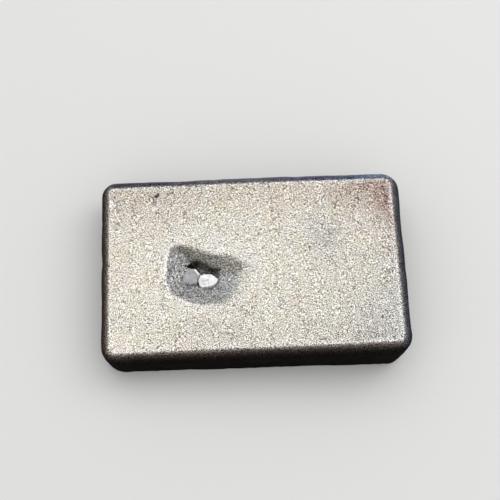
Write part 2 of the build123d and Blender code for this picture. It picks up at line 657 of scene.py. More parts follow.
@dataclass
class FreeFace:
    """The upper face of the casting: its tilt, its waves and all that is sunk in it."""

    middle_thickness: float = 8.7
    rise: float = 0.0516
    dish: Dish = field(default_factory=Dish)
    crystals: tuple[Crystal, ...] = (
        Crystal(
            Surface.SHADED_CRYSTAL,
            (
                (-11.6, -1.0), (-11.73, -2.15), (-10.58, -2.5), (-9.43, -2.47), (-8.95, -0.95),
                (-9.65, -0.05), (-10.22, 0.0), (-10.9, -0.25),
            ),
            tip_depth=1.75,
            lean_along=-0.02,
            lean_across=0.05,
        ),
        Crystal(
            Surface.WHITE_CRYSTAL,
            (
                (-9.23, -2.1), (-9.0, -2.98), (-8.59, -3.3), (-7.25, -3.23), (-6.52, -2.98),
                (-6.0, -2.3), (-6.0, -1.99), (-6.99, -1.15), (-8.17, -1.08), (-8.82, -1.23),
            ),
            tip_depth=1.6,
            lean_along=0.0,
            lean_across=-0.02,
            fold_x=-7.6,
            fold_drop=0.12,
        ),
    )
    pits: tuple[Pit, ...] = (
        Pit(-16.0, 12.8, 0.26, 0.26),
        Pit(-15.72, 13.0, 0.2, 0.2),
        Pit(-16.3, 11.5, 0.34, 0.16),
        Pit(-16.5, 9.65, 0.2, 0.1),
        Pit(-20.55, 10.9, 0.2, 0.1),
        Pit(-7.1, -12.6, 0.16, 0.08),
        Pit(10.4, 2.5, 0.3, 0.09),
        Pit(2.3, -14.0, 0.2, 0.12),
        Pit(18.9, -13.6, 0.22, 0.12),
        Pit(12.0, 4.2, 2.9, 0.2),
    )
    creases: tuple[Crease, ...] = (
        Crease((-6.5, -11.75), (-0.8, -12.35), 0.17, 0.11, 0.08),
        Crease((22.1, 2.2), (21.8, -2.0), 0.14, 0.06, 0.05),
        Crease((-6.2, 12.4), (-3.6, 11.2), 0.22, 0.035, 0.1),
        Crease((-2.9, 3.4), (1.0, 4.4), 0.13, 0.07, 0.12),
        Crease((-9.3, 11.8), (-7.5, 10.2), 0.16, 0.05, 0.1),
        Crease((-0.3, -8.3), (2.3, -9.4), 0.12, 0.045, 0.05),
    )
    # painted shade in the pits, the creases and the wide hollow
    dark_flecks: tuple[Fleck, ...] = (
        Fleck((-16.1, 12.72), (-15.65, 13.0), 0.27, 1.0),
        Fleck((-16.4, 11.4), (-16.2, 11.5), 0.35, 0.2),
        Fleck((-6.3, -11.75), (-3.6, -11.95), 0.16, 0.5),
        Fleck((-3.6, -11.95), (-1.2, -12.3), 0.14, 0.36),
        Fleck((-2.4, 3.6), (0.2, 4.3), 0.1, 0.22),
        Fleck((-8.8, 11.3), (-8.0, 10.6), 0.14, 0.22),
        Fleck((2.25, -14.0), (2.35, -14.0), 0.17, 0.5),
        Fleck((18.8, -13.6), (19.0, -13.6), 0.17, 0.5),
        Fleck((9.2, 2.4), (9.6, 3.0), 0.7, 0.14),
        Fleck((13.7, 5.2), (14.1, 5.6), 0.7, 0.08),
    )
    # painted highlight on the rim of the wide hollow
    bright_flecks: tuple[Fleck, ...] = (Fleck((9.4, 6.8), (11.9, 7.3), 0.2, 0.3),)
    orange_peel: WaveSum = WaveSum(1.0, 2.6, 0.03, seed=14, waves=50)
    least_peel: float = 0.33
    to_full_peel: Rise = Rise(14.0, 36.0)
    long_waves: WaveSum = WaveSum(7.0, 22.0, 0.035, seed=11)
    short_waves: WaveSum = WaveSum(1.6, 4.0, 0.012, seed=12)
    coarse_grain: WaveSum = WaveSum(0.7, 1.3, 0.006, seed=13, waves=60)
    allowance: float = 0.1

    def plane(self, flat: np.ndarray) -> np.ndarray:
        """Height of the tilted face over the base: middle thickness plus rise times x."""
        return self.middle_thickness + self.rise * flat[:, 0]

    def settle(self, flat: np.ndarray, reach: float) -> np.ndarray:
        """Move places that lie next to a crystal's side onto it, so that its edge is crisp.

        Args:
            flat: Places on the free face, one a row.
            reach: How near to a side a place is moved onto it.

        Returns:
            The places, each moved by less than the reach.
        """
        settled = flat.copy()
        for crystal in self.crystals:
            distance, outward = crystal.distance(settled)
            near = np.abs(distance) < reach
            settled[near] -= outward[near] * distance[near, None]
        return settled

    def peel_share(self, flat: np.ndarray) -> np.ndarray:
        """Share of the orange peel: all of it round the +X -Y corner, a third elsewhere."""
        more = self.to_full_peel.at(flat[:, 0] - flat[:, 1])
        return self.least_peel + (1.0 - self.least_peel) * more

    def relief(self, flat: np.ndarray) -> np.ndarray:
        """Height against the tilted plane: waves, grain, dish, pits and creases, then crystals.

        Args:
            flat: Places on the free face, one a row.

        Returns:
            The height at each place; crystals replace what their outlines cover.
        """
        places = on_level(flat)
        height = self.long_waves.at(places) + self.short_waves.at(places) + self.coarse_grain.at(places)
        height += self.orange_peel.at(places) * self.peel_share(flat)
        height += self.dish.height(flat) - self.allowance
        for mark in (*self.pits, *self.creases):
            height += mark.height(flat)
        for crystal in self.crystals:
            height = np.where(crystal.covers(flat), crystal.tip(flat), height)
        return height

    def flecks(self, flat: np.ndarray) -> tuple[np.ndarray, np.ndarray]:
        """Sum of the bright flecks, painted highlights, and sum of the dark ones, mostly painted shade,
        at each place, the dish's included.

        Args:
            flat: Places on the free face, one a row.

        Returns:
            How bright and how dark the flecks make each place.
        """
        bright = sum(fleck.share(flat) for fleck in (*self.dish.bright_flecks, *self.bright_flecks))
        dark = sum(fleck.share(flat) for fleck in (*self.dish.dark_flecks, *self.dark_flecks))
        return bright, dark


@dataclass(frozen=True)
class StainAndShade:
    """Tones that spread over face and walls alike: the burnt stain, and a painted shade that greys the
    metal.
    """

    stain_spots: tuple[Spot, ...] = (
        Spot(24.2, 10.8, 2.8, 4.8, 1.0),
        Spot(24.6, 4.0, 2.2, 5.5, 0.5),
        Spot(20.0, 14.0, 7.0, 5.0, 0.5),
        Spot(-19.0, 12.4, 7.0, 3.5, 0.14),
        Spot(0.0, 15.0, math.inf, 8.0, 0.37),
        Spot(-2.0, -1.9, 1.6, 1.3, 0.3),
    )
    # painted shade in the wide hollow and towards the front left
    shade_spots: tuple[Spot, ...] = (
        Spot(11.8, 4.6, 3.2, 3.4, 0.6),
        Spot(-8.0, -12.0, 9.0, 7.0, 0.28),
    )
    to_shade: Rise = Rise(-12.0, 44.0)
    shade_skew: float = 0.8
    shade_onset: float = 1.3
    left_shade: float = 0.1
    past_left_end: Rise = Rise(-23.0, -12.0)

    def stain(self, places: np.ndarray) -> np.ndarray:
        """Burnt stain: full over the back right corner, thin along the back and in the dish."""
        return np.clip(sum(spot.share(places) for spot in self.stain_spots), 0.0, 1.0)

    def dull(self, places: np.ndarray) -> np.ndarray:
        """Painted shade on the metal: a rise to the +X -Y corner, two spots, less at the -X end.

        Args:
            places: Points, one a row.

        Returns:
            A share from 0 to 1 at each point.
        """
        x, y = places[:, 0], places[:, 1]
        drift = self.to_shade.at(x - self.shade_skew * y) ** self.shade_onset
        spots = sum((spot.share(places) for spot in self.shade_spots), drift)
        return np.clip(spots + self.left_shade * self.past_left_end.at(x), 0.0, 1.0)


@dataclass(frozen=True)
class FourSides:
    """A number that differs on the four sides of the ingot."""

    left: float
    right: float
    front: float
    back: float

    def at(self, way: np.ndarray) -> np.ndarray:
        """Blend by outward direction: the end's number x X^2 plus the side's number x Y^2.

        Args:
            way: Outward directions in plan, one a row.

        Returns:
            The blended number in each direction.
        """
        ends = np.where(way[:, 0] < 0.0, self.left, self.right)
        sides = np.where(way[:, 1] < 0.0, self.front, self.back)
        return ends * way[:, 0] ** 2 + sides * way[:, 1] ** 2


@dataclass(frozen=True)
class WallTones:
    """Finishes of the crown and the walls: dark mould skin with painted shade, a painted blue reflection
    along the back and a painted highlight line.
    """

    # how soon the dark skin closes in on each side: painted shade that differs by side, over a dark
    # mould skin
    reach: FourSides = FourSides(*map(math.radians, (4.5, 7.5, 6.3, 5.5)))
    corner_reach: float = math.radians(8.0)
    closing: float = 1.3
    # painted shade: the skin closes in sooner on the front near the right end
    nibble: Spot = Spot(17.5, 0.0, 5.0, math.inf, 0.09)
    to_nibble: Rise = Rise(0.5, 0.9)
    fade: float = 0.245
    end_fade: FourSides = FourSides(0.08, -0.03, 0.0, 0.0)
    worn_lean: float = 1.0
    wear: float = 0.03
    patchy_wear: float = 0.6
    # the front wall is kept dark: painted shade
    front_dark: float = 0.9
    to_front: Rise = Rise(0.2, 0.8)
    under_wear: float = 0.14
    facing: Rise = Rise(0.35, 0.85)
    # weak painted reflection on the right end
    right_reflection: float = 0.22
    below_top: Rise = Rise(0.5, 1.5)
    # painted highlight line along the crown: its strength, and more along the back and the right end
    shine: float = 0.12
    back_shine: tuple[float, float] = (0.3, 0.5)
    along_back: Rise = Rise(-4.0, 20.0)
    right_shine: float = 0.5
    along_right: Rise = Rise(0.0, 12.0)
    line_lean: float = 0.03
    line_width: float = 0.06

    def closed(self, ways: np.ndarray, lean: np.ndarray, nibbled: np.ndarray) -> np.ndarray:
        """Mould skin and painted shade: 1 - exp(-((lean + nibbled) / reach)^closing), with more reach at
        corners; it darkens the roundings as they lean over, sooner on some sides than on others.

        Args:
            ways: Outward direction in plan at each vertex.
            lean: Lean of the surface there, from 0 on the free face to a quarter turn.
            nibbled: By how much less lean the skin closes there.

        Returns:
            A share from 0 to 1 at each vertex.
        """
        corner = self.corner_reach * 4.0 * ways[:, 0] ** 2 * ways[:, 1] ** 2
        reach = self.reach.at(ways) + corner
        return 1.0 - np.exp(-(((lean + nibbled) / reach) ** self.closing))

    def thin(self, ways: np.ndarray, lean: np.ndarray, waves: np.ndarray) -> np.ndarray:
        """How thin the mould skin is: exp(-lean / fade), and worn on the walls in soft patches; the fall
        with lean is painted shade down the rounding, and the front wall is kept dark as painted shade.

        Args:
            ways: Outward direction in plan at each vertex.
            lean: Lean of the surface there.
            waves: Relief of the wall there.

        Returns:
            A share from 0, dark skin, to 1, at each vertex.
        """
        worn = (lean > self.worn_lean) * (1.0 - self.front_dark * self.to_front.at(-ways[:, 1]))
        wear = worn * (self.wear + self.patchy_wear * np.abs(waves))
        return np.exp(-lean / (self.fade + self.end_fade.at(ways))) + wear

    def bright_line(self, side: np.ndarray, to_back: np.ndarray, lean: np.ndarray) -> np.ndarray:
        """Painted highlight line where the crown starts, stronger along the back and the back of the
        right end.

        Args:
            side: Vertices of the side rows.
            to_back: How far each faces the back.
            lean: Lean of the surface there.

        Returns:
            The line's strength at each vertex.
        """
        least, more = self.back_shine
        back = to_back * (least + more * self.along_back.at(side[:, 0]))
        right = self.right_shine * self.along_right.at(side[:, 1]) * (side[:, 0] > 0.0)
        line = np.exp(-(((lean - self.line_lean) / self.line_width) ** 2))
        return (self.shine + np.maximum(back, right)) * line

    def back_reflection(self, ways: np.ndarray, depth: np.ndarray) -> np.ndarray:
        """Painted reflection of blue light near the free face, full on the back and weak on the right
        end.
        """
        to_back, to_right = self.facing.at(ways[:, 1]), self.facing.at(ways[:, 0])
        return np.maximum(to_back, self.right_reflection * to_right) * (1.0 - self.below_top.at(depth))


@dataclass(frozen=True)
class GrainGain:
    """How much stronger the grain is by place than on the free face; weaker where below zero."""

    dish: float = 0.25
    wall: float = -0.15
    stain: float = 0.85
    lip: float = -0.2
    back: float = 0.5
    underside: float = -0.2


@dataclass(frozen=True)
class Crowd:
    """Stretch in which grid lines lie closer together, with soft ends."""

    low: float
    high: float
    extra: float
    before: float = 0.8
    past: float = 0.2

    def density(self, places: np.ndarray) -> np.ndarray:
        """Extra density at each place: a rise at the low end times one back from the high end."""
        rise = Rise(self.low - self.before, self.low + self.past).at(places)
        return self.extra * rise * Rise(-self.high - self.before, self.past - self.high).at(-places)


def crowded(half: float, count: int, crowds: tuple[Crowd, ...], samples: int = 4001) -> np.ndarray:
    """Grid lines from -half to half, evenly spaced in the running sum of their density.

    Args:
        half: Half of the span.
        count: How many gaps the lines leave.
        crowds: Stretches where the density is more than 1.
        samples: Places at which the density is worked out.

    Returns:
        The lines' places.
    """
    fine = np.linspace(-half, half, samples)
    density = np.ones_like(fine)
    for crowd in crowds:
        density += crowd.density(fine)
    running = np.concatenate([[0.0], np.cumsum(0.5 * (density[1:] + density[:-1]))])
    return np.interp(np.linspace(0.0, running[-1], count + 1), running, fine)


def grid_quads(rows: int, columns: int) -> np.ndarray:
    """Quads between the vertices of a grid, row after row.

    Args:
        rows: Gaps along the grid's second direction.
        columns: Gaps along its first direction.

    Returns:
        The quads as rows of four vertex indices, anticlockwise seen from above.
    """
    width = columns + 1
    corner = (np.arange(rows)[:, None] * width + np.arange(columns)).ravel()
    return np.column_stack([corner, corner + 1, corner + width + 1, corner + width])


def grid_rim(rows: int, columns: int) -> np.ndarray:
    """Indices of a grid's border, anticlockwise from its first corner."""
    index = np.arange((rows + 1) * (columns + 1)).reshape(rows + 1, columns + 1)
    return np.concatenate([index[0, :-1], index[:-1, -1], index[-1, :0:-1], index[:0:-1, 0]])


def halving(outer: np.ndarray, inner: np.ndarray) -> np.ndarray:
    """Ring of triangles between a row of vertices and one with half as many.

    Args:
        outer: The finer row.
        inner: The coarser row.

    Returns:
        The triangles, as rows of four with -1 last.
    """
    first, middle, last = outer[::2], outer[1::2], np.roll(outer[::2], -1)
    near, far = inner, np.roll(inner, -1)
    none = np.full(len(inner), -1)
    corners = ((first, near, middle), (middle, near, far), (middle, far, last))
    return np.vstack([np.column_stack([*triangle, none]) for triangle in corners])


@dataclass
class Skin:
    """The closed skin of the casting, worked out from the frame's box."""

    half_length: float
    half_width: float
    top: float
    face: FreeFace = field(default_factory=FreeFace)
    stain_and_shade: StainAndShade = StainAndShade()
    walls: WallTones = WallTones()
    gain: GrainGain = GrainGain()
    columns: int = 328
    rows: int = 196
    coarsening: int = 4
    column_crowds: tuple[Crowd, ...] = (
        Crowd(-14.7, 0.2, 1.1), Crowd(-12.1, -5.6, 1.3), Crowd(-16.6, -15.2, 0.8),
    )
    row_crowds: tuple[Crowd, ...] = (
        Crowd(-7.2, 4.1, 1.2), Crowd(-3.6, 1.6, 1.3), Crowd(11.4, 13.4, 0.8),
    )
    settle_reach: float = 0.034
    corner_bends: tuple[float, float, float, float] = (1.3, 1.35, 0.95, 1.25)
    crown: FourSides = FourSides(1.4, 1.7, 1.75, 1.75)
    draft: FourSides = FourSides(*map(math.radians, (4.5, 2.5, 2.7, 4.5)))
    corner_radii: tuple[float, float] = (2.7, 3.5)
    rounding_start: float = 8.0
    foot_radius: float = 1.0
    crown_rows: int = 11
    crown_crowding: float = 1.4
    wall_rows: int = 9
    foot_rows: int = 6
    under_insets: tuple[float, float] = (0.5, 2.0)
    back_bow: float = 0.25
    bow_middle: float = -2.0
    wall_waves: WaveSum = WaveSum(3.0, 14.0, 0.035, seed=21)
    wall_ripples: WaveSum = WaveSum(0.9, 2.4, 0.012, seed=22)
    wall_allowance: float = 0.05
    to_waves: Rise = Rise(0.0, 0.9)
    under_waves: WaveSum = WaveSum(2.0, 12.0, 0.02, seed=23)
    # painted highlight along the free face's edge
    edge_shine: float = 0.4
    edge_reach: float = 0.35

    def middle(self) -> np.ndarray:
        """Middle of the crown line, which the end crowns' unlike radii shift along the length."""
        return np.array([0.5 * (self.crown.left - self.crown.right), 0.0])

    def inner(self) -> np.ndarray:
        """Half of the crown line's length and width."""
        ends = 0.5 * (self.crown.left + self.crown.right)
        return np.array([self.half_length - ends, self.half_width - self.crown.front])

    def bend(self, x: np.ndarray, y: np.ndarray) -> np.ndarray:
        """Radius of the crown line's corner in each place's quarter, the two in front first."""
        return np.array(self.corner_bends)[(x > 0.0) + 2 * (y > 0.0)]

    def flat_grid(self) -> np.ndarray:
        """Grid over the free face inside the crown line, fitted to its rounded corners.

        In each corner square the grid is bent into a quarter disc: p becomes p x root(1 - q^2 / 2)
        and q becomes q x root(1 - p^2 / 2), with p and q from 0 to 1 towards the corner.

        Returns:
            Places as an array of rows by columns by 2.
        """
        inner_x, inner_y = self.inner()
        x, y = np.meshgrid(
            crowded(inner_x, self.columns, self.column_crowds),
            crowded(inner_y, self.rows, self.row_crowds),
        )
        bend = self.bend(x, y)
        p = np.clip((np.abs(x) - inner_x + bend) / bend, 0.0, 1.0)
        q = np.clip((np.abs(y) - inner_y + bend) / bend, 0.0, 1.0)
        in_corner = (p > 0.0) & (q > 0.0)
        bent_x = inner_x - bend + bend * p * np.sqrt(1.0 - 0.5 * q * q)
        bent_y = inner_y - bend + bend * q * np.sqrt(1.0 - 0.5 * p * p)
        x = np.where(in_corner, np.sign(x) * bent_x, x)
        y = np.where(in_corner, np.sign(y) * bent_y, y)
        return np.stack([x, y], axis=2) + self.middle()

    def outward(self, rim: np.ndarray) -> np.ndarray:
        """Outward direction in plan of the crown line at each of its places.

        Args:
            rim: Places on the crown line, one a row.

        Returns:
            Unit directions: away from the corner's centre on an arc, square to the side elsewhere.
        """
        from_middle = rim - self.middle()
        past = np.abs(from_middle) - (self.inner() - self.bend(*from_middle.T)[:, None])
        corner = np.clip(past, 0.0, None) * np.sign(from_middle)
        return corner / np.linalg.norm(corner, axis=1, keepdims=True)

    def crown_lean(self, draft: np.ndarray) -> np.ndarray:
        """Lean of the crown's rows, from near 0 to the wall's, closer together near the free face."""
        share = np.arange(1, self.crown_rows + 1)[:, None] / self.crown_rows
        return (0.5 * math.pi - draft) * share**self.crown_crowding

    def side_profile(
        self, top: np.ndarray, radius: np.ndarray, draft: np.ndarray
    ) -> tuple[np.ndarray, np.ndarray]:
        """Section from the crown line down to the base: crown arc, drafted wall, foot arc.

        Args:
            top: Height of the crown line at each of its places.
            radius: Crown radius there.
            draft: Draft of the wall there.

        Returns:
            Outward offset and height, each as rows down the side by places round it.
        """
        lean = self.crown_lean(draft)
        crown_out = radius * np.sin(lean)
        crown_z = top - radius * (1.0 - np.cos(lean))
        foot_lean = draft + (0.5 * math.pi - draft) * np.linspace(0.0, 1.0, self.foot_rows + 1)[:, None]
        wall_foot = self.foot_radius * (1.0 - np.sin(draft))
        wall_in = (crown_z[-1] - wall_foot) * np.tan(draft)
        share = np.linspace(0.0, 1.0, self.wall_rows + 1)[1:-1, None]
        wall_out = crown_out[-1] - share * wall_in
        wall_z = crown_z[-1] + share * (wall_foot - crown_z[-1])
        arc_middle = crown_out[-1] - wall_in - self.foot_radius * np.cos(draft)
        foot_out = arc_middle + self.foot_radius * np.cos(foot_lean)
        foot_z = self.foot_radius * (1.0 - np.sin(foot_lean)) + 0.0 * top
        return np.vstack([crown_out, wall_out, foot_out]), np.vstack([crown_z, wall_z, foot_z])

    def rounded(self, side: np.ndarray, around: int) -> np.ndarray:
        """Draw the wall's corners back onto arcs, whose radius grows evenly towards the base.

        Args:
            side: Vertices of the side rows below the crown, one a row.
            around: How many vertices lie in each row round the wall.

        Returns:
            The vertices, none of them beyond its row's corner arc.
        """
        rows = side.reshape(-1, around, 3)
        flat = rows[..., :2]
        low, high = flat.min(axis=1, keepdims=True), flat.max(axis=1, keepdims=True)
        share = np.clip(1.0 - rows[..., 2:] / self.rounding_start, 0.0, 1.0)
        radius = self.corner_radii[0] + (self.corner_radii[1] - self.corner_radii[0]) * share
        sign = np.where(flat < self.middle(), -1.0, 1.0)
        centre = np.where(sign < 0.0, low + radius, high - radius)
        past = (flat - centre) * sign
        reach = np.linalg.norm(past, axis=2, keepdims=True)
        beyond = (past.min(axis=2, keepdims=True) > 0.0) & (reach > radius)
        drawn = centre + sign * past * radius / np.maximum(reach, radius)
        return np.dstack([np.where(beyond, drawn, flat), rows[..., 2]]).reshape(-1, 3)

    def bowed(self, places: np.ndarray) -> np.ndarray:
        """Draw the back edge in towards its +X end: y less bow x ((x - middle) / length)^2.

        Args:
            places: Points, one a row.

        Returns:
            The points with their y bowed, on the back half alone.
        """
        moved = places.copy()
        share = np.clip(places[:, 1] / self.half_width, 0.0, 1.0) ** 2
        spread = (np.maximum(places[:, 0] - self.bow_middle, 0.0) / self.half_length) ** 2
        moved[:, 1] -= self.back_bow * share * spread
        return moved

    def side(self, rim: np.ndarray, way: np.ndarray) -> np.ndarray:
        """Rows from the crown line down to the base, waved inwards and with round corners.

        Args:
            rim: Vertices on the crown line, one a row.
            way: Outward direction in plan at each.

        Returns:
            The vertices, row after row down the side.
        """
        radius = self.crown.at(way)
        out, down = self.side_profile(rim[:, 2], radius, self.draft.at(way))
        side = np.concatenate(
            [np.column_stack([rim[:, :2] + way * o[:, None], z]) for o, z in zip(out, down)]
        )
        ways = np.tile(on_level(way), (len(out), 1))
        strength = self.to_waves.at((out / radius).ravel())
        sway = self.wall_waves.at(side) + self.wall_ripples.at(side) - self.wall_allowance
        side = side + ways * (np.minimum(sway, 0.0) * strength)[:, None]
        side[-len(rim):, 2] = 0.0
        wall = self.crown_rows * len(rim)
        side[wall:] = self.rounded(side[wall:], len(rim))
        return side

    def underside(self, grid: np.ndarray, foot: np.ndarray) -> np.ndarray:
        """Vertices underneath: a ring half as fine as the last side row, then a coarse waved grid.

        Args:
            grid: The free face's grid, as rows by columns by 2.
            foot: The last side row in plan.

        Returns:
            The vertices, those of the ring first.
        """
        extent, middle, step = self.inner(), self.middle(), self.coarsening
        places = (foot[:: step // 2], grid[::step, ::step].reshape(-1, 2))
        ring, coarse = (
            on_level(middle + (flat - middle) * (extent - inset) / extent)
            for flat, inset in zip(places, self.under_insets)
        )
        coarse[:, 2] = np.maximum(self.under_waves.at(coarse), 0.0)
        return np.vstack([ring, coarse])

    def build(self) -> tuple[np.ndarray, np.ndarray, dict[Mask, np.ndarray], np.ndarray]:
        """Work out the whole skin.

        Returns:
            Vertices in millimetres, faces as rows of four with -1 for a missing fourth corner,
            masks by name, and each face's surface.
        """
        grid = self.flat_grid()
        flat = self.face.settle(grid.reshape(-1, 2), self.settle_reach)
        height = self.face.plane(flat) + self.face.relief(flat)
        top = np.column_stack([flat, np.minimum(height, self.top)])
        border = grid_rim(self.rows, self.columns)
        way = self.outward(flat[border])
        side = self.side(top[border], way)
        under = self.underside(grid, side[-len(border):, :2])
        faces, surfaces = self.faces(border, flat, len(side) // len(border))
        vertices = self.bowed(np.vstack([top, side, under]))
        return vertices, faces, self.masks(flat, side, way, len(under)), surfaces

    def faces(
        self, border: np.ndarray, flat: np.ndarray, side_rows: int
    ) -> tuple[np.ndarray, np.ndarray]:
        """Join the grid, the side rows, the two coarsening rings and the under grid.

        Args:
            border: The top grid's border indices.
            flat: The top grid's places, by which crystal faces are told.
            side_rows: Rows down the side.

        Returns:
            Faces as rows of four vertex indices, and each face's surface.
        """
        top, around = grid_quads(self.rows, self.columns), len(border)
        rows = [border] + [len(flat) + k * around + np.arange(around) for k in range(side_rows)]
        sides = [
            np.column_stack([upper, lower, np.roll(lower, -1), np.roll(upper, -1)])
            for upper, lower in zip(rows[:-1], rows[1:])
        ]
        ring = rows[-1][-1] + 1 + np.arange(around // 2)
        start = ring[-1] + 1
        coarse = (self.rows // self.coarsening, self.columns // self.coarsening)
        rings = [halving(rows[-1], ring), halving(ring, start + grid_rim(*coarse))]
        under = start + grid_quads(*coarse)[:, [0, 3, 2, 1]]
        faces = np.vstack([top, *sides, *rings, under])
        surfaces = np.full(len(faces), Surface.CAST.value)
        for crystal in self.face.crystals:
            surfaces[: len(top)][crystal.covers(flat)[top].all(axis=1)] = crystal.surface.value
        return faces, surfaces

    def face_masks(self, flat: np.ndarray) -> dict[Mask, np.ndarray | float]:
        """Masks on the free face: the dish, the flecks, the painted highlight on the edge, the stain,
        the painted shade and the grain.

        Args:
            flat: Places on the free face, one a row.

        Returns:
            Each mask at each place; a mask that isn't named is zero.
        """
        dish, stain, gain = self.face.dish.tones(flat), self.stain_and_shade.stain(flat), self.gain
        bright, dark = self.face.flecks(flat)
        # painted highlight along the free face's edge
        from_edge = (self.inner() - np.abs(flat - self.middle())).min(axis=1)
        edge = self.edge_shine * np.exp(-((from_edge / self.edge_reach) ** 2))
        grain = 1.0 + gain.dish * dish.inside + gain.wall * dish.on_wall - dish.calm + gain.stain * stain
        return {
            Mask.DISH: dish.inside,
            Mask.WALL: dish.on_wall,
            Mask.PAINTED_HIGHLIGHT: np.clip(dish.lip + dish.halo + edge + bright, 0.0, 1.0),
            Mask.SHADE_AND_MARKS: np.clip(dish.soot + dark, 0.0, 1.0),
            Mask.STAIN: stain,
            Mask.PAINTED_SHADE: self.stain_and_shade.dull(flat),
            Mask.GRAIN: grain * (1.0 + gain.lip * dish.lip),
            Mask.CROWN: 1.0,
        }

    def side_masks(self, side: np.ndarray, way: np.ndarray) -> dict[Mask, np.ndarray | float]:
        """Masks on the crown and the walls, by how far the surface leans over there.

        Args:
            side: Vertices of the side rows.
            way: Outward direction at each place of the rim.

        Returns:
            Each mask at each vertex; a mask that isn't named is zero.
        """
        walls, around = self.walls, len(way)
        lean = np.full((len(side) // around, around), 0.5 * math.pi)
        lean[: self.crown_rows] = self.crown_lean(self.draft.at(way))
        ways, nibble = np.tile(way, (len(lean), 1)), walls.nibble.share(side[:around])
        nibbled = np.tile(nibble * walls.to_nibble.at(-way[:, 1]), len(lean))
        lean, to_back = lean.ravel(), walls.facing.at(ways[:, 1])
        return {
            Mask.MOULD_AND_SHADE: walls.closed(ways, lean, nibbled),
            Mask.BACK_REFLECTION: walls.back_reflection(ways, self.face.plane(side[:, :2]) - side[:, 2]),
            Mask.PAINTED_HIGHLIGHT: walls.bright_line(side, to_back, lean),
            Mask.STAIN: self.stain_and_shade.stain(side),
            Mask.PAINTED_SHADE: self.stain_and_shade.dull(side),
            Mask.GRAIN: 1.0 + self.gain.back * to_back,
            Mask.CROWN: walls.thin(ways, lean, self.wall_waves.at(side)),
        }

    def masks(
        self, flat: np.ndarray, side: np.ndarray, way: np.ndarray, under_count: int
    ) -> dict[Mask, np.ndarray]:
        """Masks for the finishes at each vertex, joined from face, side and underside.

        Args:
            flat: Places of the top grid in plan.
            side: Vertices of the side rows.
            way: Outward direction at each place of the rim.
            under_count: How many vertices lie underneath.

        Returns:
            One value for each vertex and mask.
        """
        under = {
            Mask.MOULD_AND_SHADE: 1.0,
            Mask.GRAIN: 1.0 + self.gain.underside,
            Mask.CROWN: self.walls.under_wear,
        }
        parts = (self.face_masks(flat), self.side_masks(side, way), under)
        counts = (len(flat), len(side), under_count)
        return {
            mask: np.concatenate(
                [np.broadcast_to(part.get(mask, 0.0), count) for part, count in zip(parts, counts)]
            )
            for mask in Mask
        }


def closed_mesh(name: str, vertices: np.ndarray, faces: np.ndarray, scale: float) -> bpy.types.Mesh:
    """Put arrays of triangles and quads into a new mesh.

    Args:
        name: The mesh's name.
        vertices: Points, one a row.
        faces: Rows of four vertex indices, -1 for a missing fourth.
        scale: Factor from the points' unit to metres.

    Returns:
        The mesh.
    """
    mesh = bpy.data.meshes.new(name)
    corners = (faces >= 0).sum(axis=1)
    starts = np.cumsum(corners) - corners
    loops = faces[faces >= 0]
    mesh.vertices.add(len(vertices))
    mesh.vertices.foreach_set("co", (vertices * scale).astype(np.float32).ravel())
    mesh.loops.add(len(loops))
    mesh.loops.foreach_set("vertex_index", loops.astype(np.int32))
    mesh.polygons.add(len(faces))
    mesh.polygons.foreach_set("loop_start", starts.astype(np.int32))
    mesh.update(calc_edges=True)
    mesh.validate()
    return mesh


Colour = tuple[float, float, float]
Output = bpy.types.NodeSocket


@dataclass(frozen=True)
class Tones:
    """Two colours of one finish, which lie in soft patches."""

    first: Colour
    second: Colour


@dataclass(frozen=True)
class Sheen:
    """How rough and how metallic a finish is."""

    roughness: float
    metallic: float = 1.0


FREE_FACE = Tones((0.875, 0.80, 0.685), (0.82, 0.74, 0.625))
# greyer copy of the free face, for painted shade
SHADED_FACE = Tones((0.475, 0.465, 0.44), (0.435, 0.425, 0.40))
# darker than the free face: bluish frost, partly painted shade; the dish wall's tone is painted shade
DISH_FROST_AND_SHADE = Tones((0.515, 0.51, 0.505), (0.43, 0.425, 0.42))
DISH_WALL_SHADE = Tones((0.375, 0.358, 0.315), (0.305, 0.288, 0.25))
BURNT_STAIN = Tones((0.285, 0.20, 0.16), (0.325, 0.24, 0.205))
# near black: dark mould skin, with painted shade
MOULD_SKIN_AND_SHADE = Tones((0.0028, 0.0022, 0.002), (0.005, 0.0038, 0.0033))
THIN_SKIN = Tones((0.50, 0.41, 0.36), (0.42, 0.335, 0.29))
BARE_SHEEN = Sheen(0.34)
DISH_SHEEN = Sheen(0.4)
MOULD_SHEEN = Sheen(0.7, 0.02)
BACK_REFLECTION_SHEEN = Sheen(0.35, 0.6)
# near black for painted shade and a few dark marks
SHADE_AND_MARKS = (0.04, 0.037, 0.044)
# white for painted highlights
HIGHLIGHT_WHITE = (0.97, 0.95, 0.9)


